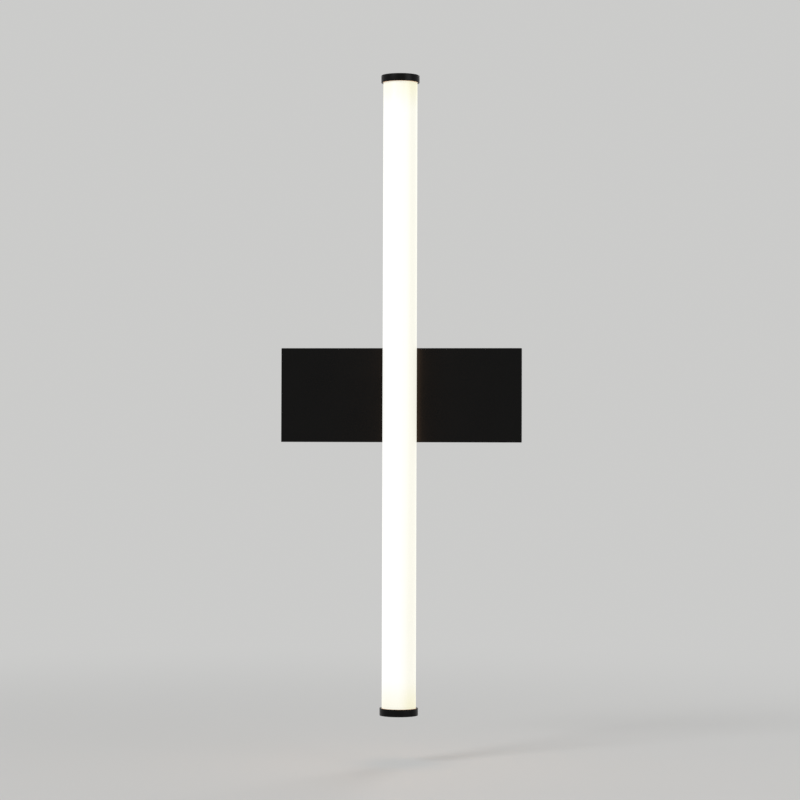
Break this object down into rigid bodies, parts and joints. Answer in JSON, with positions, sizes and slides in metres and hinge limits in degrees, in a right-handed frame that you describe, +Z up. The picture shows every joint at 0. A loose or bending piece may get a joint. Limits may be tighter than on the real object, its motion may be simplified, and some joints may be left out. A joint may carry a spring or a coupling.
{
  "type": "tube wall light",
  "caption": "Wall light: an upright opal tube with dark end caps, lit along its whole length, swivelling in front of a wide flat dark wall box.",
  "frame": {"origin": "middle of the wall bracket's back face, on the wall, level with the tube's middle", "axes": "+Z up along the tube, +Y into the wall, so the lamp stands out toward -Y, +X to the right as seen from the room"},
  "size_m": [0.228, 0.078, 0.6],
  "materials": {
    "black_coat": "satin powder coat, fine grain",
    "opal": "opal, satin",
    "zinc_steel": "zinc plated, satin",
    "black_screw": "blackened, satin",
    "spring_steel": "dull",
    "brass": "bright",
    "white_plastic": "moulded, fine grain",
    "terminal_plastic": "moulded, fine grain",
    "slide_plastic": "smooth",
    "board": "lacquered board",
    "winding": "taped winding and dark core",
    "capacitor": "sleeved",
    "rubber": "matt",
    "seal": "matt",
    "profile": "drawn, anodised",
    "strip": "white lacquered flexible board",
    "phosphor": "phosphor silicone",
    "mains_wire": "sleeved",
    "earth_wire": "sleeved",
    "low_wire": "sleeved"
  },
  "bodies": {
    "wall_box": {"wall_bracket": "zinc_steel", "cable_grommet": "rubber", "back_box": "black_coat", "front_cover": "black_coat", "cover_studs": "zinc_steel", "cover_nuts": "zinc_steel", "box_screws": "black_screw", "driver_case": "white_plastic", "driver_lid": "white_plastic", "driver_board": "board", "driver_transformer": "winding", "driver_capacitors": "capacitor", "driver_screws": "zinc_steel", "terminal_block": "terminal_plastic", "terminal_screws": "zinc_steel", "earth_screw": "zinc_steel", "earth_ring": "brass", "earth_nut": "zinc_steel", "pivot_bushing": "slide_plastic", "stop_pins": "zinc_steel", "mains_leads": "mains_wire", "earth_lead": "earth_wire", "output_leads": "low_wire"},
    "lit_tube": {"pivot_nipple": "zinc_steel", "disc_spring": "spring_steel", "stop_washer": "zinc_steel", "lock_washer": "zinc_steel", "pivot_nut": "zinc_steel", "lead_sleeve": "slide_plastic", "tube_saddle": "black_coat", "saddle_screws": "zinc_steel", "core_profile": "profile", "led_strip_front": "strip", "led_strip_left": "strip", "led_strip_right": "strip", "led_strip_back_upper": "strip", "led_strip_back_lower": "strip", "led_beads": "phosphor", "diffuser_tube": "opal", "end_cap_top": "black_coat", "end_cap_bottom": "black_coat", "cap_seals": "seal", "end_plug_top": "white_plastic", "end_plug_bottom": "white_plastic", "cap_screws": "black_screw", "tube_leads": "low_wire"}
  },
  "joints": [
    {"name": "tube_swivel", "type": "hinge", "parent": "wall_box", "child": "lit_tube", "pos_m": [0, -0.042, 0], "axis": [0, -1, 0], "range_deg": [-90, 90]}
  ]
}
